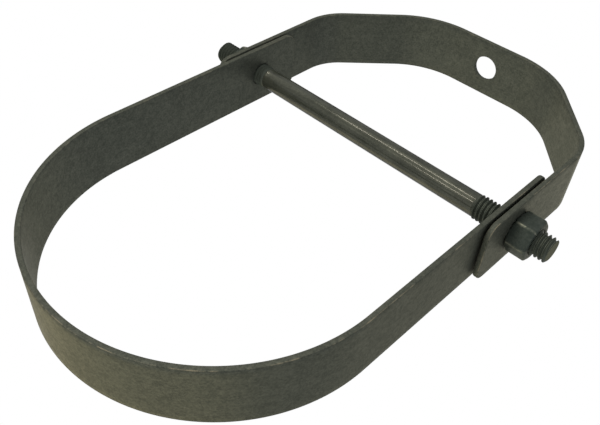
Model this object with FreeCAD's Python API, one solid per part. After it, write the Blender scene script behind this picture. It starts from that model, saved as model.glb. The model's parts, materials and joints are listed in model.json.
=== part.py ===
import FreeCAD, Part
import math
import os

# Sizes in mm. Z is up along the hanging rod, X runs along the cross bolt, Y along the pipe.
# The origin is the middle of the rod hole, halfway through the flat top.
strap_width = 25.4
strap_thickness = 1.9
edge_bevel = 0.3
yoke_side_gap = 1.0

# Lower yoke, heights from the bolt axis
seat_radius = 62.4
seat_drop = 74.9
leg_rise = 20.0
leg_corner_round = 5.0

# Upper yoke, heights from the bolt axis
top_rise = 80.7
top_half_length = 31.0
shoulder_rise = 43.4
top_bend = 36.0
shoulder_bend = 22.0
ear_drop = 20.2
ear_corner_round = 5.0

# Rod hole for a 9.5 mm rod
rod_hole = 11.1

# Cross bolt, 3/8 in with 16 threads per inch
thread_major = 9.525
thread_pitch = 1.5875
shank_diameter = 8.7
near_end = 81.5
far_end = 86.6
near_thread = 32.5
far_thread = 29.5
bolt_end_chamfer = 0.5
bolt_hole_clearance = 0.1

# Hex nuts
nut_across_flats = 14.29
nut_height = 8.33
nut_bore_clearance = 0.05
nut_face_angle = 30.0
nut_face_ratio = 0.95
nut_mouth = 0.5

# Derived sizes
half_width = strap_width / 2
bolt_height = -(top_rise + strap_thickness / 2)
bolt_hole = thread_major + 2 * bolt_hole_clearance
ear_inside = seat_radius + strap_thickness + yoke_side_gap
ear_outside = ear_inside + strap_thickness


def point(x, z):
    return FreeCAD.Vector(x, 0, z)


def offset_corners(corners, distance):
    """Corners of the same open path moved sideways, to its right, by the distance."""
    moved = []
    for i, corner in enumerate(corners):
        before = corners[max(i - 1, 0)]
        after = corners[min(i + 1, len(corners) - 1)]
        sides = []
        for a, b in ((before, corner), (corner, after)):
            along = b.sub(a)
            if along.Length > 0:
                along.normalize()
                sides.append(FreeCAD.Vector(along.z, 0, -along.x))
        middle = sides[0].add(sides[-1])
        middle.normalize()
        moved.append(corner.add(middle.multiply(distance / middle.dot(sides[0]))))
    return moved


def rounded_path(corners, radii):
    """Lines joined by tangent arcs."""
    edges = []
    start = corners[0]
    for i, radius in enumerate(radii, 1):
        corner = corners[i]
        inward = corner.sub(corners[i - 1])
        outward = corners[i + 1].sub(corner)
        inward.normalize()
        outward.normalize()
        reach = radius * math.tan(inward.getAngle(outward) / 2)
        first = corner.sub(inward * reach)
        last = corner.add(outward * reach)
        middle = first.add(last).multiply(0.5)
        centre = corner.add(middle.sub(corner) * (math.hypot(reach, radius) / middle.distanceToPoint(corner)))
        crown = corner.sub(centre)
        crown.normalize()
        if first.distanceToPoint(start) > 1e-6:
            edges.append(Part.LineSegment(start, first).toShape())
        edges.append(Part.Arc(first, centre.add(crown * radius), last).toShape())
        start = last
    edges.append(Part.LineSegment(start, corners[-1]).toShape())
    return edges


def bent_strap(corners, radii):
    """A flat strip with its bends, given by the corners and bend radii of its inner face."""
    outer = offset_corners(corners, strap_thickness)
    edges = rounded_path(corners, radii)
    edges += rounded_path(outer, [r + strap_thickness for r in radii])
    edges.append(Part.LineSegment(corners[0], outer[0]).toShape())
    edges.append(Part.LineSegment(corners[-1], outer[-1]).toShape())
    outline = Part.Wire(Part.__sortEdges__(edges))
    profile = Part.Face(outline)
    profile.translate(FreeCAD.Vector(0, -half_width, 0))
    return profile.extrude(FreeCAD.Vector(0, strap_width, 0))


def round_end_corners(strap, end_height, radius):
    """Rounds the four corners of the strap's two ends, seen on its flat faces."""
    picked = []
    for edge in strap.Edges:
        box = edge.BoundBox
        at_end = abs(box.ZMin - end_height) < 1e-4 and abs(box.ZMax - end_height) < 1e-4
        if at_end and box.YLength < 1e-4 and abs(box.XLength - strap_thickness) < 1e-4:
            picked.append(edge)
    return strap.makeFillet(radius, picked)


def bevel_outline(strap):
    """Small bevel round the strap's two broad faces, past the edges through it and the seams across it."""
    picked = []
    for edge in strap.Edges:
        through = abs(edge.Length - strap_thickness) < 1e-4
        seam = abs(edge.Length - strap_width) < 1e-4
        if not through and not seam:
            picked.append(edge)
    return strap.makeChamfer(edge_bevel, picked)


def cross_hole(diameter):
    reach = 2 * ear_outside
    start = FreeCAD.Vector(-reach, 0, bolt_height)
    return Part.makeCylinder(diameter / 2, 2 * reach, start, FreeCAD.Vector(1, 0, 0))


def lower_yoke():
    tip = bolt_height + leg_rise
    bottom = bolt_height - seat_drop - seat_radius
    corners = [
        point(-seat_radius, tip),
        point(-seat_radius, bottom),
        point(seat_radius, bottom),
        point(seat_radius, tip),
    ]
    strap = bent_strap(corners, [seat_radius, seat_radius])
    strap = round_end_corners(strap, tip, leg_corner_round)
    strap = bevel_outline(strap)
    return strap.cut(cross_hole(bolt_hole))


def upper_yoke():
    tip = bolt_height - ear_drop
    shoulder = bolt_height + shoulder_rise
    top = bolt_height + top_rise
    corners = [
        point(ear_inside, tip),
        point(ear_inside, shoulder),
        point(top_half_length, top),
        point(-top_half_length, top),
        point(-ear_inside, shoulder),
        point(-ear_inside, tip),
    ]
    strap = bent_strap(corners, [shoulder_bend, top_bend, top_bend, shoulder_bend])
    strap = round_end_corners(strap, tip, ear_corner_round)
    strap = bevel_outline(strap)
    strap = strap.cut(cross_hole(bolt_hole))
    start = FreeCAD.Vector(0, 0, -strap_thickness)
    return strap.cut(Part.makeCylinder(rod_hole / 2, 2 * strap_thickness, start))


def turned(outline):
    """A solid turned about the bolt axis from (x, radius) pairs."""
    points = [FreeCAD.Vector(x, 0, radius) for x, radius in outline]
    points.append(points[0])
    profile = Part.Face(Part.makePolygon(points))
    solid = profile.revolve(FreeCAD.Vector(0, 0, 0), FreeCAD.Vector(1, 0, 0), 360)
    solid.translate(FreeCAD.Vector(0, 0, bolt_height))
    return solid


def cross_bolt():
    crest = thread_major / 2
    shank = shank_diameter / 2
    flat = crest - bolt_end_chamfer
    run_out = thread_pitch
    return turned([
        (-far_end, 0),
        (-far_end, flat),
        (-far_end + bolt_end_chamfer, crest),
        (-far_end + far_thread, crest),
        (-far_end + far_thread + run_out, shank),
        (near_end - near_thread - run_out, shank),
        (near_end - near_thread, crest),
        (near_end - bolt_end_chamfer, crest),
        (near_end, flat),
        (near_end, 0),
    ])


def hex_nut(inner_face, outward, corner_angle):
    """A nut standing on the ear face, one hex corner at the given angle from +Y towards +Z."""
    corner = nut_across_flats / 2 / math.cos(math.radians(30))
    ring = nut_across_flats / 2 * nut_face_ratio
    slope = (corner - ring) * math.tan(math.radians(nut_face_angle))
    bore = thread_major / 2 + nut_bore_clearance
    low, high = sorted([inner_face, inner_face + outward * nut_height])
    points = []
    for i in range(7):
        angle = math.radians(corner_angle + 60 * i)
        y = corner * math.cos(angle)
        z = bolt_height + corner * math.sin(angle)
        points.append(FreeCAD.Vector(low, y, z))
    prism = Part.Face(Part.makePolygon(points)).extrude(FreeCAD.Vector(high - low, 0, 0))
    envelope = turned([
        (low, bore + nut_mouth),
        (low, ring),
        (low + slope, corner),
        (high - slope, corner),
        (high, ring),
        (high, bore + nut_mouth),
        (high - nut_mouth, bore),
        (low + nut_mouth, bore),
    ])
    return prism.common(envelope)


def near_nut():
    return hex_nut(ear_outside, 1, 90)


def far_nut():
    return hex_nut(-ear_outside, -1, 0)


os.makedirs("parts", exist_ok=True)
for node in (lower_yoke, upper_yoke, cross_bolt, near_nut, far_nut):
    shape = node()
    if not shape.isValid():
        raise ValueError("not a valid solid: " + node.__name__)
    solids = shape.Solids
    shape = solids[0] if len(solids) == 1 else shape
    shape.exportStep("parts/" + node.__name__ + ".step")
    box = shape.BoundBox
    print(node.__name__, len(solids), len(shape.Faces), round(shape.Volume, 1))
    print("  x", round(box.XMin, 2), round(box.XMax, 2), "y", round(box.YMin, 2), round(box.YMax, 2))
    print("  z", round(box.ZMin, 2), round(box.ZMax, 2))
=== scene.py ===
import json
import math

import bmesh
import bpy
from mathutils import Matrix, Vector


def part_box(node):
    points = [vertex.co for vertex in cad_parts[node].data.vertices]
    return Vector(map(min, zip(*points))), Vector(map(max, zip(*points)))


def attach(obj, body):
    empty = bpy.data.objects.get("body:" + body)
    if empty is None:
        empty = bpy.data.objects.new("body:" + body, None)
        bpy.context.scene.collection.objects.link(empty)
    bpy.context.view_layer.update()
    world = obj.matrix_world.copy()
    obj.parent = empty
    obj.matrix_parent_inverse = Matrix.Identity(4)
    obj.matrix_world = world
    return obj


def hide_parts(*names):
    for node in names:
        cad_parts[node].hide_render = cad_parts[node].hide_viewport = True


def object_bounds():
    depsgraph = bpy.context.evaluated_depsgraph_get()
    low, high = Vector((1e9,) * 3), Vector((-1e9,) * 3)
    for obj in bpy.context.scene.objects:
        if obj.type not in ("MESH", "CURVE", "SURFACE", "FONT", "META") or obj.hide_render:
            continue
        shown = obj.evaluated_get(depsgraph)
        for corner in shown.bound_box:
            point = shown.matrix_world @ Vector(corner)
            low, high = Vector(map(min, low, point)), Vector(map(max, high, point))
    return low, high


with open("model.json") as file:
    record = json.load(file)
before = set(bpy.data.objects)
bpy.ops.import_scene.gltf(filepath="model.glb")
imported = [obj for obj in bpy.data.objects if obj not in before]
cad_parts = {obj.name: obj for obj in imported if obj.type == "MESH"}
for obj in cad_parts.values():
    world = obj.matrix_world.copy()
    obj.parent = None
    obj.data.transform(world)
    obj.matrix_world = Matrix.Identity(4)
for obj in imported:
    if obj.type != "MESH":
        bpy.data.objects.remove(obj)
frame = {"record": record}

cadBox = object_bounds()
mm = 0.001


class Formula:
    # One socket of a node tree. Arithmetic on it adds Math nodes.
    def __init__(self, tree, socket=None):
        self.tree = tree
        self.socket = socket

    def node(self, kind, values=None, settings=None, out=0):
        # Settings belong to the node and values to its inputs. A list feeds one input several times.
        made = self.tree.nodes.new(kind)
        for name, value in (settings or {}).items():
            setattr(made, name, value)
        for name, value in (values or {}).items():
            for one in value if isinstance(value, list) else [value]:
                if isinstance(one, Formula):
                    self.tree.links.new(one.socket, made.inputs[name])
                else:
                    made.inputs[name].default_value = one
        return Formula(self.tree, made.outputs[out])

    def math(self, operation, *values):
        return self.node("ShaderNodeMath", dict(enumerate(values)), {"operation": operation})

    def clamp(self, low, high):
        return self.math("MINIMUM", self.math("MAXIMUM", self, low), high)

    def __add__(self, other):
        return self.math("ADD", self, other)

    def __sub__(self, other):
        return self.math("SUBTRACT", self, other)

    def __rsub__(self, other):
        return self.math("SUBTRACT", other, self)

    def __mul__(self, other):
        return self.math("MULTIPLY", self, other)

    def __truediv__(self, other):
        return self.math("DIVIDE", self, other)

    def __pow__(self, other):
        return self.math("POWER", self, other)

    def __abs__(self):
        return self.math("ABSOLUTE", self)

    def __lt__(self, other):
        return self.math("LESS_THAN", self, other)

    def __gt__(self, other):
        return self.math("GREATER_THAN", self, other)

    __radd__ = __add__


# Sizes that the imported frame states, in metres
record = frame["record"]
mounts = {m["name"]: m for m in record["mounts"]}
joints = {j["name"]: j for j in record["behaviour"]["joints"]}
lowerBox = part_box("lower_yoke")
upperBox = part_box("upper_yoke")
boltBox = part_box("cross_bolt")
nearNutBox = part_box("near_nut")
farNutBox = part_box("far_nut")

stripThickness = mounts["rod_hole"]["dims"]["length_mm"] * mm
stripWidth = mounts["pipe_seat"]["dims"]["length_mm"] * mm
rodHoleRadius = mounts["rod_hole"]["dims"]["r_mm"] * mm
seatRadius = mounts["pipe_seat"]["dims"]["r_mm"] * mm
seatHeight = mounts["pipe_seat"]["pos_m"][2]
boltHeight = joints["yoke_swing"]["pos_m"][2]
threadRadius = (boltBox[1][1] - boltBox[0][1]) / 2


def added(name, data):
    thing = bpy.data.objects.new(name, data)
    bpy.context.scene.collection.objects.link(thing)
    return thing


def aimed(side, up, back, place):
    # The matrix of a camera or lamp that faces away from its back direction
    columns = [side, up, back, place]
    return Matrix([[column[i] for column in columns] for i in range(3)] + [[0, 0, 0, 1]])


# Camera where the photograph was taken from, in the hanging position of the part
view = {
    "lens": 42.135,
    "sensor": 36.0,
    "nearest": 10 * mm,
    "place": (130.1 * mm, -167.66 * mm, boltHeight - 181.51 * mm),
    "right": (0.70697, -0.05215, 0.70531),
    "up": (-0.51232, -0.72527, 0.4599),
    "back": (0.48756, -0.68649, -0.53946),
}


def placeCamera():
    camera = bpy.data.cameras.new("camera")
    camera.lens = view["lens"]
    camera.sensor_width = view["sensor"]
    camera.clip_start = view["nearest"]
    holder = added("camera", camera)
    holder.matrix_world = aimed(view["right"], view["up"], view["back"], view["place"])
    bpy.context.scene.camera = holder


placeCamera()
print("camera placed")


def newTree(name, sizes, counts):
    # A Geometry Nodes tree with a named input for each size and count
    tree = bpy.data.node_groups.new(name, "GeometryNodeTree")
    kinds = {"Geometry": "Geometry"}
    kinds.update({size: "Float" for size in sizes})
    kinds.update({count: "Int" for count in counts})
    kinds["Material"] = "Material"
    for entry, kind in kinds.items():
        tree.interface.new_socket(entry, in_out="INPUT", socket_type="NodeSocket" + kind)
    tree.interface.new_socket("Geometry", in_out="OUTPUT", socket_type="NodeSocketGeometry")
    given = tree.nodes.new("NodeGroupInput")
    return Formula(tree), {entry: Formula(tree, given.outputs[entry]) for entry in kinds}


def endTree(f, mesh, material):
    real = f.node("GeometryNodeRealizeInstances", {"Geometry": mesh})
    painted = f.node("GeometryNodeSetMaterial", {"Geometry": real, "Material": material})
    end = f.tree.nodes.new("NodeGroupOutput")
    f.tree.links.new(painted.socket, end.inputs["Geometry"])
    return f.tree


def store(f, mesh, name, value, kind="FLOAT"):
    values = {"Geometry": mesh, "Name": name, "Value": value}
    return f.node("GeometryNodeStoreNamedAttribute", values, {"data_type": kind, "domain": "POINT"})


def position(f):
    place = f.node("GeometryNodeInputPosition")
    return [f.node("ShaderNodeSeparateXYZ", {"Vector": place}, out=axis) for axis in "XYZ"]


def combine(f, x, y, z):
    return f.node("ShaderNodeCombineXYZ", {"X": x, "Y": y, "Z": z})


def setPosition(f, mesh, x, y, z):
    return f.node("GeometryNodeSetPosition", {"Geometry": mesh, "Position": combine(f, x, y, z)})


def grown(name, tree, values, material):
    # Runs a tree on an empty mesh and keeps the result as a plain mesh
    values = {**values, "Material": material}
    seed = added(name, bpy.data.meshes.new(name))
    modifier = seed.modifiers.new("grow", "NODES")
    modifier.node_group = tree
    for item in tree.interface.items_tree:
        if item.item_type == "SOCKET" and item.in_out == "INPUT" and item.name in values:
            modifier[item.identifier] = values[item.name]
    seed.update_tag()
    graph = bpy.context.evaluated_depsgraph_get()
    mesh = bpy.data.meshes.new_from_object(seed.evaluated_get(graph), depsgraph=graph)
    seed.modifiers.clear()
    seed.data = mesh
    mesh.name = name
    return seed


def tidyMesh(mesh, sharpAngle, gap):
    # Merges what touches, turns the faces outwards and keeps real edges crisp
    work = bmesh.new()
    work.from_mesh(mesh)
    bmesh.ops.remove_doubles(work, verts=work.verts, dist=gap)
    bmesh.ops.dissolve_degenerate(work, edges=work.edges, dist=gap)
    bmesh.ops.recalc_face_normals(work, faces=work.faces)
    if work.calc_volume(signed=True) < 0:
        bmesh.ops.reverse_faces(work, faces=work.faces)
    work.to_mesh(mesh)
    work.free()
    mesh.polygons.foreach_set("use_smooth", [True] * len(mesh.polygons))
    mesh.set_sharp_from_angle(angle=math.radians(sharpAngle))
    mesh.update()


# The strip of both yokes: a flat blank with rounded ends and holes, which is then bent
strip = {
    "edgeRound": 0.35 * mm,
    "innerWear": 0.35,  # how much the inner edges get wear and painted highlight, against the outer ones
    "boltHoleRadius": threadRadius + 0.1 * mm,
    "holeEdgeRound": 0.15 * mm,
    "holeSides": 64,
    "rowStep": 0.6 * mm,
    "columns": 13,
    "sharpAngle": 35,
    "mergeGap": 0.001 * mm,
}


def holeCutter(f, radius, x, thickness, flare, sides):
    # A pin with rows at 1, 3 and 5 on both sides: end of the bore, end of its flare, end of the pin
    pin = f.node("GeometryNodeMeshCylinder", {
        "Vertices": sides,
        "Side Segments": 5,
        "Radius": radius,
        "Depth": 10.0,
    })
    px, py, pz = position(f)
    bore = abs(pz) < 2.0
    end = abs(pz) > 4.0
    half = thickness * 0.5
    over = 0.2  # share of the flare that runs on past the face, for a clean cut
    height = bore * (half - flare) + (1 - bore) * (half + flare * over) + end * half
    wide = 1 + (1 - bore) * flare * (1 + over) / radius
    return setPosition(f, pin, px * wide + x, py * wide, height * f.math("SIGN", pz))


def stripTree():
    sizes = [
        "Thickness", "Width", "Corner Round", "Edge Round",
        "Hole Radius", "Hole Inset", "Middle Hole Radius", "Hole Edge Round",
        "Flat", "First Bend", "First Angle", "Straight", "Second Bend", "Second Angle", "End Straight",
        "Bend Direction", "Middle Height",
    ]
    f, given = newTree("bentStrip", sizes, ["Rows", "Columns", "Hole Sides"])
    half = given["Thickness"] * 0.5
    halfWidth = given["Width"] * 0.5
    firstAngle = given["First Angle"]
    secondAngle = given["Second Angle"]
    firstRadius = given["First Bend"] + half
    secondRadius = given["Second Bend"] + half
    firstEnd = given["Flat"] + firstRadius * firstAngle
    secondStart = firstEnd + given["Straight"]
    secondEnd = secondStart + secondRadius * secondAngle
    halfLength = secondEnd + given["End Straight"]

    levels = 6
    lowest = 1 / (levels - 1)  # height of the innermost levels, as a share of half the thickness
    box = f.node("GeometryNodeMeshCube", {
        "Size": combine(f, halfLength * 2, given["Width"], given["Thickness"]),
        "Vertices X": given["Rows"],
        "Vertices Y": given["Columns"],
        "Vertices Z": levels,
    })

    # Its edges are rounded by drawing in the levels, which rise by 0, 0.5 and 1 from side to face
    def drawnIn(share):
        # Close to a quarter round: 0, 0.3 and 1 of the rounding
        return (share * 0.2 + share * share * 0.8) * given["Edge Round"]

    x, y, z = position(f)
    rise = (abs(z) / half - lowest) / (1 - lowest)
    inset = drawnIn(rise)
    drop = drawnIn(1 - rise)
    corner = given["Corner Round"]
    inner = f.math("MINIMUM", abs(x), halfLength - corner)
    turn = (abs(x) - inner) / corner * (math.pi / 2)
    newX = f.math("SIGN", x) * (inner + (corner - inset) * f.math("SINE", turn))
    reach = halfWidth - corner + (corner - inset) * f.math("COSINE", turn)
    newY = y / halfWidth * reach
    newZ = f.math("SIGN", z) * (half - drop)
    endShare = f.math("MAXIMUM", abs(x) - (halfLength - corner), 0.0) / corner
    rim = f.math("MAXIMUM", abs(y) / halfWidth, endShare)
    # The rounded edges get a lighter stripe, part wear and part painted highlight, stronger on the outer
    # corners
    wear = strip["innerWear"] + (z > 0.0) * (1 - strip["innerWear"])
    blank = store(f, box, "rim", rim)
    blank = store(f, blank, "edge", (1 - abs(rise - 0.5) * 2) * wear)
    blank = setPosition(f, blank, newX, newY, newZ)

    def pierced(mesh, radius, places):
        shape = (given["Thickness"], given["Hole Edge Round"], given["Hole Sides"])
        pins = [holeCutter(f, radius, place, *shape) for place in places]
        settings = {"operation": "DIFFERENCE", "solver": "EXACT"}
        return f.node("GeometryNodeMeshBoolean", {"Mesh 1": mesh, "Mesh 2": pins}, settings)

    middle = given["Middle Hole Radius"]
    boltHole = halfLength - given["Hole Inset"]
    holed = pierced(blank, given["Hole Radius"], [boltHole, boltHole * -1.0])
    choices = {"Switch": middle > 0.0, "False": holed, "True": pierced(holed, middle, [0.0])}
    holed = f.node("GeometryNodeSwitch", choices, {"input_type": "GEOMETRY"})
    holed = store(f, holed, "blank", f.node("GeometryNodeInputPosition"), "FLOAT_VECTOR")

    # Bending: how far each point lies along the strip gives its turn and its place
    x, y, z = position(f)
    along = abs(x)
    firstTurn = ((along - given["Flat"]) / firstRadius).clamp(0.0, firstAngle)
    secondTurn = ((along - secondStart) / secondRadius).clamp(0.0, secondAngle)
    straight = (along - firstEnd).clamp(0.0, given["Straight"])
    last = f.math("MAXIMUM", along - secondEnd, 0.0)
    sinFirst = f.math("SINE", firstAngle)
    cosFirst = f.math("COSINE", firstAngle)
    turn = firstTurn + secondTurn
    out = (
        f.math("MINIMUM", along, given["Flat"])
        + firstRadius * f.math("SINE", firstTurn)
        + straight * cosFirst
        + secondRadius * (f.math("SINE", firstAngle + secondTurn) - sinFirst)
        + last * f.math("COSINE", firstAngle + secondAngle)
        + z * f.math("SINE", turn)
    )
    fall = (
        firstRadius * (1 - f.math("COSINE", firstTurn))
        + straight * sinFirst
        + secondRadius * (cosFirst - f.math("COSINE", firstAngle + secondTurn))
        + last * f.math("SINE", firstAngle + secondAngle)
        - z * f.math("COSINE", turn)
    )
    height = given["Middle Height"] - fall * given["Bend Direction"]
    bent = setPosition(f, holed, f.math("SIGN", x) * out, y, height)
    return endTree(f, bent, given["Material"])


def stripLength(values):
    half = values["Thickness"] / 2
    bends = values["First Angle"] * (values["First Bend"] + half)
    bends += values["Second Angle"] * (values["Second Bend"] + half)
    return 2 * (values["Flat"] + bends + values["Straight"] + values["End Straight"])


def makeStrip(name, tree, values, material):
    values = {
        "Thickness": stripThickness,
        "Width": stripWidth,
        "Edge Round": strip["edgeRound"],
        "Hole Radius": strip["boltHoleRadius"],
        "Hole Edge Round": strip["holeEdgeRound"],
        "Columns": strip["columns"],
        "Hole Sides": strip["holeSides"],
        **values,
    }
    values["Rows"] = 2 * round(stripLength(values) / strip["rowStep"] / 2) + 1
    piece = grown(name, tree, values, material)
    tidyMesh(piece.data, strip["sharpAngle"], strip["mergeGap"])
    return piece


lowerShape = {"cornerRound": 5.0 * mm}


def lowerYoke(tree, material):
    legTop = lowerBox[1][2]
    values = {
        "Corner Round": lowerShape["cornerRound"],
        "Hole Inset": legTop - boltHeight,
        "Middle Hole Radius": 0.0,
        "Flat": 0.0,
        "First Bend": seatRadius,
        "First Angle": math.pi / 2,
        "Straight": legTop - seatHeight,
        "Second Bend": seatRadius,
        "Second Angle": 0.0,
        "End Straight": 0.0,
        "Bend Direction": -1.0,
        "Middle Height": lowerBox[0][2] + stripThickness / 2,
    }
    return makeStrip("lowerYoke", tree, values, material)


upperShape = {
    "cornerRound": 5.0 * mm,
    "topHalfLength": 31.0 * mm,
    "shoulderRise": 43.4 * mm,
    "topBend": 36.0 * mm,
    "shoulderBend": 22.0 * mm,
}


def upperYoke(tree, material):
    earInside = upperBox[1][0] - stripThickness
    earTip = upperBox[0][2]
    topRise = upperBox[1][2] - stripThickness - boltHeight
    slantRun = earInside - upperShape["topHalfLength"]
    slantFall = topRise - upperShape["shoulderRise"]
    topAngle = math.atan2(slantFall, slantRun)
    shoulderAngle = math.pi / 2 - topAngle
    topReach = upperShape["topBend"] * math.tan(topAngle / 2)
    shoulderReach = upperShape["shoulderBend"] * math.tan(shoulderAngle / 2)
    earLength = upperShape["shoulderRise"] + boltHeight - earTip
    values = {
        "Corner Round": upperShape["cornerRound"],
        "Hole Inset": boltHeight - earTip,
        "Middle Hole Radius": rodHoleRadius,
        "Flat": upperShape["topHalfLength"] - topReach,
        "First Bend": upperShape["topBend"],
        "First Angle": topAngle,
        "Straight": math.hypot(slantRun, slantFall) - topReach - shoulderReach,
        "Second Bend": upperShape["shoulderBend"],
        "Second Angle": shoulderAngle,
        "End Straight": earLength - shoulderReach,
        "Bend Direction": 1.0,
        "Middle Height": upperBox[1][2] - stripThickness / 2,
    }
    return makeStrip("upperYoke", tree, values, material)


# The cross bolt's two threads and its plain shank
bolt = {
    "pitch": 1.5875 * mm,
    "depth": 0.93 * mm,
    "crestHalf": 0.0625,  # half the flat of a crest, in pitches
    "flank": 0.375,  # length of a flank along the bolt, in pitches
    "rowsPerTurn": 8,
    "sides": 72,
    "nearThread": 30.8 * mm,
    "farThread": 29.5 * mm,
    "runOut": 1.2 * mm,
    "endChamfer": 0.5 * mm,
    "faceRows": 4,
    "faceRim": 0.015,  # how far the first row of the end face lies inside its tip, as a share
    "faceHollow": 0.2 * mm,
    "shankRadius": 4.35 * mm,
    "shankRows": 40,
    "sharpAngle": 32,
    "mergeGap": 0.004 * mm,
}


# Threads and nuts are sleeves. Their rows are drawn along the helix, so each ridge is a true screw line.
def sleeve(f, rows, sides):
    counts = {"Size X": 1.0, "Size Y": 1.0, "Vertices X": rows, "Vertices Y": sides}
    grid = f.node("GeometryNodeMeshGrid", counts)
    u, v, _ = position(f)
    return grid, u + 0.5, v + 0.5


def threadCut(f, turns):
    # 0 on a crest and 1 in a root. The half turn puts a crest between the first two rows of each
    # turn, and the two whole turns keep the sum positive.
    crestHalf = bolt["crestHalf"]
    fromCrest = abs(f.math("FRACT", turns + 2.5 - crestHalf) - 0.5)
    return ((fromCrest - crestHalf) / bolt["flank"]).clamp(0.0, 1.0)


def threadTree():
    # A stretch of thread along +X, with a run-out at 0 and a chamfered tip and cut face at Length
    sizes = ["Length", "Pitch", "Radius", "Depth", "Tip Radius", "Run Out", "Shank Radius"]
    f, given = newTree("threadedEnd", sizes, ["Turns", "Sides"])
    faceRows = bolt["faceRows"]
    threadRows = given["Turns"] * bolt["rowsPerTurn"]
    grid, u, v = sleeve(f, threadRows + faceRows + 1, given["Sides"])
    row = u * (threadRows + faceRows)
    turns = row / bolt["rowsPerTurn"] - 1
    x = ((turns + v) * given["Pitch"]).clamp(0.0, given["Length"])
    cut = threadCut(f, x / given["Pitch"] - v)
    fade = (x / given["Run Out"]).clamp(0.0, 1.0)
    shank = given["Shank Radius"]
    radius = shank + (given["Radius"] - cut * given["Depth"] - shank) * fade
    radius = f.math("MINIMUM", radius, given["Tip Radius"] + (given["Length"] - x))
    # The last rows close the end with a slightly hollow face
    faceRow = (row - threadRows).clamp(0.0, faceRows)
    onFace = f.math("MINIMUM", faceRow, 1.0)
    step = (1 - bolt["faceRim"]) / (faceRows - 1)
    share = 1 - onFace * bolt["faceRim"] - (faceRow - onFace) * step
    radius = radius * share
    x = x - share * (1 - share) * bolt["faceHollow"]
    angle = v * (2 * math.pi)
    mesh = store(f, grid, "hollow", cut * fade)
    mesh = store(f, mesh, "threaded", fade)
    mesh = store(f, mesh, "cutEnd", onFace)
    mesh = setPosition(f, mesh, x, radius * f.math("COSINE", angle), radius * f.math("SINE", angle))
    return endTree(f, mesh, given["Material"])


def shankTube(start, stop, material):
    work = bmesh.new()
    rings = []
    radius = bolt["shankRadius"]
    for row in range(bolt["shankRows"] + 1):
        x = start + (stop - start) * row / bolt["shankRows"]
        ring = []
        for i in range(bolt["sides"]):
            angle = 2 * math.pi * i / bolt["sides"]
            ring.append(work.verts.new((x, radius * math.cos(angle), radius * math.sin(angle))))
        rings.append(ring)
    for a, b in zip(rings, rings[1:]):
        for i in range(bolt["sides"]):
            j = (i + 1) % bolt["sides"]
            work.faces.new((a[i], a[j], b[j], b[i]))
    mesh = bpy.data.meshes.new("shank")
    work.to_mesh(mesh)
    work.free()
    mesh.materials.append(material)
    return added("shank", mesh)


def placed(piece, x, side):
    # Side -1 turns the piece half round the vertical, so that a right-hand thread stays right-handed
    turn = Matrix.Rotation(0.0 if side > 0 else math.pi, 4, "Z")
    piece.data.transform(Matrix.Translation((x, 0.0, boltHeight)) @ turn)
    return piece


def crossBolt(tree, material):
    pieces = []
    inner = {}
    ends = {1: (boltBox[1][0], bolt["nearThread"]), -1: (boltBox[0][0], bolt["farThread"])}
    for side, (end, length) in ends.items():
        values = {
            "Length": length,
            "Pitch": bolt["pitch"],
            "Radius": threadRadius,
            "Depth": bolt["depth"],
            "Tip Radius": threadRadius - bolt["endChamfer"],
            "Run Out": bolt["runOut"],
            "Shank Radius": bolt["shankRadius"],
            "Turns": math.ceil(length / bolt["pitch"]) + 2,  # spare rows end up at 0 and Length
            "Sides": bolt["sides"] + 1,  # the last column meets the first
        }
        inner[side] = end - side * length
        pieces.append(placed(grown("thread", tree, values, material), inner[side], side))
    pieces.append(placed(shankTube(inner[-1], inner[1], material), 0.0, 1))
    piece = pieces[0]
    with bpy.context.temp_override(active_object=piece, selected_editable_objects=pieces):
        bpy.ops.object.join()
    piece.name = "crossBolt"
    piece.data.name = "crossBolt"
    tidyMesh(piece.data, bolt["sharpAngle"], bolt["mergeGap"])
    return piece


# Each nut is a sleeve folded into its faces, chamfers, flats and threaded bore
nut = {
    "mouth": 0.5 * mm,
    "boreGap": 0.05 * mm,
    "faceRatio": 0.95,
    "faceSlope": math.tan(math.radians(30)),
    "edgeRound": 0.22 * mm,
    "cornerDepth": 0.7,  # rounding of the six corners, as a share of the edge's
    "cornerSpan": 0.06,  # how far round it reaches from each corner, in radians
    "wearSpan": 0.07,  # and how far its lighter stripe of wear and painted highlight does
    "sides": 144,
    "sharpAngle": 40,
    "mergeGap": 0.004 * mm,
}


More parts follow.
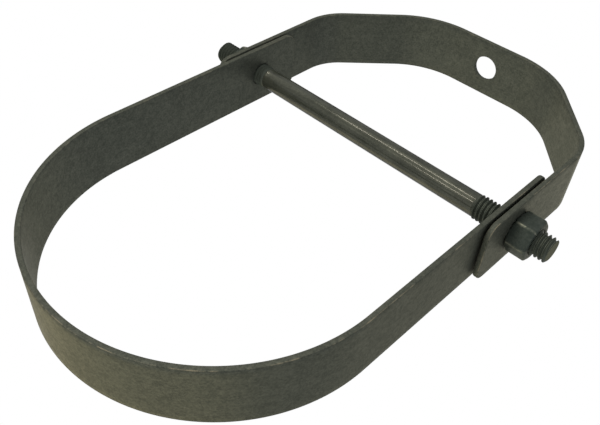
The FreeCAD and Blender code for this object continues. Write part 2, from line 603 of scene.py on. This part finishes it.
def nutTree():
    sizes = [
        "Flat Radius", "Height", "Ring Radius", "Slope", "Bore Radius", "Mouth",
        "Edge Round", "Corner Angle", "Pitch", "Depth",
    ]
    f, given = newTree("hexNut", sizes, ["Turns", "Sides"])
    shellRows = 12
    rows = given["Turns"] * bolt["rowsPerTurn"] + shellRows
    grid, u, v = sleeve(f, rows + 1, given["Sides"])
    row = f.math("ROUND", u * rows)
    angle = v * (2 * math.pi)
    fromCorner = f.math("PINGPONG", angle + given["Corner Angle"], math.pi / 6)
    edge = given["Edge Round"]
    rounding = edge * nut["cornerDepth"] * (1 - fromCorner / nut["cornerSpan"]).clamp(0.0, 1.0) ** 2
    hexRadius = given["Flat Radius"] / f.math("COSINE", math.pi / 6 - fromCorner) - rounding
    ring = given["Ring Radius"]
    height = given["Height"]
    mouth = given["Bore Radius"] + given["Mouth"]
    fall = (hexRadius - ring) * given["Slope"]
    fallInside = (hexRadius - edge - ring) * given["Slope"]
    fallOutside = edge * given["Slope"]
    # Each row of the shell: its radius and its height, with the ring's edge eased by 0.3 of its fall
    shell = [
        (mouth, height),
        (ring - edge, height),
        (ring, height - fallOutside * 0.3),
        (ring + edge, height - fallOutside),
        (hexRadius - edge, height - fallInside),
        (hexRadius, height - fall - edge),
        (hexRadius, fall + edge),
        (hexRadius - edge, fallInside),
        (ring + edge, fallOutside),
        (ring, fallOutside * 0.3),
        (ring - edge, 0.0),
        (mouth, 0.0),
    ]
    radius = 0.0
    along = 0.0
    for k, (rowRadius, rowHeight) in enumerate(shell):
        here = f.math("COMPARE", row, float(k), 0.5)
        radius = radius + here * rowRadius
        along = along + here * rowHeight
    # The rows after the shell's wind through the bore
    inside = row > shellRows - 0.5
    turns = (row - shellRows) / bolt["rowsPerTurn"] - 1
    z = ((turns + v) * given["Pitch"]).clamp(0.0, height)
    cut = threadCut(f, turns)
    flare = mouth - f.math("MINIMUM", z, height - z)
    bore = f.math("MAXIMUM", given["Bore Radius"] - cut * given["Depth"], flare)
    radius = radius + inside * bore
    along = along + inside * z
    # A stripe along each corner that is painted lighter: part wear, part painted highlight
    rubbed = (1 - fromCorner / nut["wearSpan"]).clamp(0.0, 1.0)
    mesh = store(f, grid, "hollow", inside * (1 - cut))
    mesh = store(f, mesh, "corner", rubbed * (1 - inside))
    mesh = setPosition(f, mesh, along, radius * f.math("COSINE", angle), radius * f.math("SINE", angle))
    return endTree(f, mesh, given["Material"])


def hexNut(name, tree, box, side, cornerAngle, material):
    height = box[1][0] - box[0][0]
    flats = min(box[1][1] - box[0][1], box[1][2] - box[0][2])
    values = {
        "Flat Radius": flats / 2,
        "Height": height,
        "Ring Radius": flats / 2 * nut["faceRatio"],
        "Slope": nut["faceSlope"],
        "Bore Radius": threadRadius + nut["boreGap"],
        "Mouth": nut["mouth"],
        "Edge Round": nut["edgeRound"],
        "Corner Angle": math.radians(cornerAngle),
        "Pitch": bolt["pitch"],
        "Depth": bolt["depth"],
        "Turns": math.ceil(height / bolt["pitch"]) + 1,
        "Sides": nut["sides"] + 1,
    }
    foot = box[0][0] if side > 0 else box[1][0]
    piece = placed(grown(name, tree, values, material), foot, side)
    tidyMesh(piece.data, nut["sharpAngle"], nut["mergeGap"])
    return piece


def newFinish(name, constants):
    material = bpy.data.materials.new(name)
    material.use_nodes = True
    shader = material.node_tree.nodes["Principled BSDF"]
    for socket, value in constants.items():
        shader.inputs[socket].default_value = value
    return material, Formula(material.node_tree), shader


def steelFinish(name, look):
    return newFinish(name, {
        "Metallic": look["metallic"],
        "Specular IOR Level": look["specular"],
        "Specular Tint": (*look["sheen"], 1.0),
    })


def feed(shader, links):
    for name, value in links.items():
        value.tree.links.new(value.socket, shader.inputs[name])


def attribute(f, name, out="Fac"):
    return f.node("ShaderNodeAttribute", {}, {"attribute_name": name}, out)


def noise(f, place, scale, detail, rough):
    values = {"Vector": place, "Scale": scale, "Detail": detail, "Roughness": rough}
    return f.node("ShaderNodeTexNoise", values)


def spread(f, value, low, high):
    values = {"Value": value, "From Min": low, "From Max": high}
    return f.node("ShaderNodeMapRange", values, {"interpolation_type": "SMOOTHSTEP"})


def blend(f, share, first, second):
    # Inputs 6 and 7 and output 2 are the colour sockets of the Mix node
    values = {0: share, 6: first, 7: second}
    values = {k: (*v, 1.0) if isinstance(v, tuple) else v for k, v in values.items()}
    return f.node("ShaderNodeMix", values, {"data_type": "RGBA"}, 2)


def alongX(f, place, share):
    # Draws a pattern out along X by taking only this share of the way there
    return f.node("ShaderNodeVectorMath", {0: place, 1: (share, 1.0, 1.0)}, {"operation": "MULTIPLY"})


def bump(f, height, strength, distance):
    return f.node("ShaderNodeBump", {"Height": height, "Strength": strength, "Distance": distance})


# Hot rolled strip with its dark scale under oil: fine specks, faint rolling lines, and lighter corners
# that are part wear and part painted highlight
stripLook = {
    "dark": (0.0355, 0.0405, 0.0350),
    "light": (0.0720, 0.0775, 0.0650),
    "rubbed": (0.2100, 0.1850, 0.1330),
    "sheen": (0.63, 0.60, 0.48),
    "metallic": 0.6,
    "specular": 0.09,
    "roughness": 0.44,
    "wear": 0.8,
    "relief": 0.1 * mm,
}


def oiledStrip():
    look = stripLook
    material, f, shader = steelFinish("oiledStrip", look)
    place = attribute(f, "blank", "Vector")
    specks = noise(f, place, scale=1500.0, detail=2.0, rough=0.6)
    grain = noise(f, place, scale=500.0, detail=4.0, rough=0.65)
    patches = noise(f, place, scale=60.0, detail=3.0, rough=0.55)
    lines = noise(f, alongX(f, place, 0.05), scale=900.0, detail=2.0, rough=0.5)
    tone = specks * 0.45 + grain * 0.35 + patches * 0.12 + lines * 0.08
    share = spread(f, tone, low=0.30, high=0.70)
    # Lighter rounded corners: part wear, part painted highlight along the edge
    rubbed = attribute(f, "edge") * spread(f, patches + (grain - 0.5) * 0.6, low=0.44, high=0.72)
    sheared = spread(f, attribute(f, "rim"), low=0.96, high=1.0)
    colour = blend(f, share, look["dark"], look["light"])
    colour = blend(f, rubbed * look["wear"], colour, look["rubbed"])
    feed(shader, {
        "Base Color": colour,
        "Roughness": look["roughness"] + (1 - share) * 0.12 + sheared * 0.14,
        "Normal": bump(f, specks * 0.5 + grain * 0.5, strength=0.3, distance=look["relief"]),
    })
    return material


# Plain steel rod under oil: drawing lines along it and a film of oil, with the thread roots painted
# lighter, as painted light that lifts their shade
boltLook = {
    "dark": (0.0230, 0.0260, 0.0210),
    "light": (0.0520, 0.0560, 0.0450),
    "thread": (0.0370, 0.0440, 0.0370),
    "grease": (0.0650, 0.0750, 0.0660),
    "end": (0.0750, 0.0780, 0.0520),
    "sheen": (0.32, 0.31, 0.25),
    "metallic": 0.45,
    "specular": 0.12,
    "roughness": 0.36,
    "film": 0.23,
    "filmRoughness": 0.12,
    "relief": 0.06 * mm,
}


def oiledBolt():
    look = boltLook
    material, f, shader = steelFinish("oiledBolt", look)
    shader.inputs["Coat Roughness"].default_value = look["filmRoughness"]
    place = f.node("ShaderNodeTexCoord", out="Object")
    drawn = noise(f, alongX(f, place, 0.04), scale=1300.0, detail=3.0, rough=0.6)
    specks = noise(f, place, scale=1200.0, detail=3.0, rough=0.6)
    patches = noise(f, place, scale=110.0, detail=3.0, rough=0.6)
    share = spread(f, drawn * 0.4 + specks * 0.3 + patches * 0.3, low=0.34, high=0.68)
    threaded = attribute(f, "threaded")
    hollow = attribute(f, "hollow")
    cutEnd = attribute(f, "cutEnd")
    plain = (1 - threaded - cutEnd).clamp(0.0, 1.0)
    colour = blend(f, share, look["dark"], look["light"])
    colour = blend(f, threaded * 0.9, colour, look["thread"])
    # Painted light: the thread roots are lightened to lift their shade
    colour = blend(f, hollow * 0.7, colour, look["grease"])
    colour = blend(f, cutEnd, colour, look["end"])
    feed(shader, {
        "Base Color": colour,
        "Roughness": look["roughness"] + (1 - share) * 0.12 + threaded * 0.08 + cutEnd * 0.16,
        "Coat Weight": plain * (look["film"] + share * 0.10),
        "Normal": bump(f, drawn, strength=0.12, distance=look["relief"]),
    })
    return material


# Dark nuts with corners lightened as part wear and part painted highlight, and painted shade in the
# roots of the bore's thread
nutLook = {
    "dark": (0.0235, 0.0305, 0.0275),
    "light": (0.0445, 0.0530, 0.0475),
    "rubbed": (0.1900, 0.1950, 0.1550),
    "sheen": (0.63, 0.60, 0.48),
    "metallic": 0.45,
    "specular": 0.1,
    "roughness": 0.40,
    "wear": 0.8,
    "relief": 0.08 * mm,
}


def oiledNut():
    look = nutLook
    material, f, shader = steelFinish("oiledNut", look)
    place = f.node("ShaderNodeTexCoord", out="Object")
    specks = noise(f, place, scale=1200.0, detail=3.0, rough=0.6)
    patches = noise(f, place, scale=260.0, detail=3.0, rough=0.6)
    share = spread(f, specks * 0.5 + patches * 0.5, low=0.34, high=0.70)
    # Lighter corners: part wear, part painted highlight
    rubbed = attribute(f, "corner") * spread(f, patches, low=0.35, high=0.65)
    colour = blend(f, share, look["dark"], look["light"])
    colour = blend(f, rubbed * look["wear"], colour, look["rubbed"])
    # Painted shade: the roots of the bore's thread are darkened
    colour = blend(f, attribute(f, "hollow") * 0.8, colour, look["dark"])
    feed(shader, {
        "Base Color": colour,
        "Roughness": look["roughness"] + (1 - share) * 0.14 - rubbed * 0.15,
        "Normal": bump(f, specks, strength=0.3, distance=look["relief"]),
    })
    return material


stripFinish = oiledStrip()
boltFinish = oiledBolt()
nutFinish = oiledNut()
print("finishes made")

bentStrip = stripTree()
lower = lowerYoke(bentStrip, stripFinish)
upper = upperYoke(bentStrip, stripFinish)
print("yokes bent:", len(lower.data.polygons), len(upper.data.polygons), "faces")

rod = crossBolt(threadTree(), boltFinish)
print("cross bolt threaded:", len(rod.data.polygons), "faces")

hexTree = nutTree()
nearNut = hexNut("nearNut", hexTree, nearNutBox, 1, 90.0, nutFinish)
farNut = hexNut("farNut", hexTree, farNutBox, -1, 0.0, nutFinish)
print("nuts made:", len(nearNut.data.polygons), "faces each")

for piece, body, slot, node in (
    (lower, "lower_yoke", "strap_steel", "lower_yoke"),
    (upper, "upper_yoke", "strap_steel", "upper_yoke"),
    (rod, "cross_bolt", "bolt_steel", "cross_bolt"),
    (nearNut, "near_nut", "nut_steel", "near_nut"),
    (farNut, "cross_bolt", "nut_steel", "far_nut"),
):
    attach(piece, body)
    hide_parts(node)
print("pieces ride on their bodies")

# Room: a pale floor far below, a white surround and soft lamps
room = {
    "floorDepth": 1.2,
    "floorSize": 60.0,
    "floorColour": (0.85, 0.85, 0.84),
    "floorRoughness": 0.8,
    "surroundColour": (1.0, 1.0, 1.0),
    "surround": 1.0,
}

# Places and sizes in metres, powers in watts. The tubes give the shank its two thin streaks.
lamps = {
    "firstTube": {
        "place": (-0.20, -0.85, -0.08),
        "size": (0.57, 0.06),
        "power": 3.8,
        "colour": (1.0, 0.91, 0.76),
    },
    "secondTube": {
        "place": (-0.12, -0.68, -0.59),
        "size": (0.42, 0.06),
        "power": 2.6,
        "colour": (1.0, 0.91, 0.76),
    },
    "shoulderGlow": {
        "place": (-0.90, 0.52, 0.15),
        "size": (0.3, 0.5),
        "power": 0.7,
        "colour": (1.0, 0.95, 0.80),
    },
    "warmGlow": {
        "place": (-0.15, 0.93, -0.66),
        "size": (1.8, 0.6),
        "power": 4.6,
        "colour": (1.0, 0.85, 0.47),
    },
    "underGlow": {
        "place": (0.05, 0.10, -0.95),
        "size": (0.9, 0.9),
        "power": 1.5,
        "colour": (1.0, 0.99, 0.86),
    },
    "sideLamp": {
        "place": (0.18, 0.62, 0.92),
        "size": (0.4, 0.4),
        "power": 0.5,
        "colour": (1.0, 0.97, 0.80),
    },
}


def makeRoom():
    half = room["floorSize"] / 2
    low = cadBox[0][2] - room["floorDepth"]
    mesh = bpy.data.meshes.new("floor")
    corners = [(-half, -half, low), (half, -half, low), (half, half, low), (-half, half, low)]
    mesh.from_pydata(corners, [], [(0, 1, 2, 3)])
    floor = added("floor", mesh)
    colour = (*room["floorColour"], 1.0)
    material, _, _ = newFinish("paleFloor", {"Base Color": colour, "Roughness": room["floorRoughness"]})
    mesh.materials.append(material)
    world = bpy.data.worlds.new("surround")
    world.use_nodes = True
    background = world.node_tree.nodes["Background"]
    background.inputs["Color"].default_value = (*room["surroundColour"], 1.0)
    background.inputs["Strength"].default_value = room["surround"]
    bpy.context.scene.world = world
    bpy.context.scene.view_settings.view_transform = "Standard"


def makeLamp(name, values):
    # A flat lamp facing the bolt, its long side level and along X
    lamp = bpy.data.lights.new(name, "AREA")
    lamp.shape = "RECTANGLE"
    lamp.size, lamp.size_y = values["size"]
    lamp.energy = values["power"]
    lamp.color = values["colour"]
    place = Vector(values["place"])
    back = (place - Vector((0.0, 0.0, boltHeight))).normalized()
    side = back.cross(Vector((1.0, 0.0, 0.0)).cross(back)).normalized()
    holder = added(name, lamp)
    holder.matrix_world = aimed(side, back.cross(side), back, place)


makeRoom()
for name, values in lamps.items():
    makeLamp(name, values)
print("room lit")
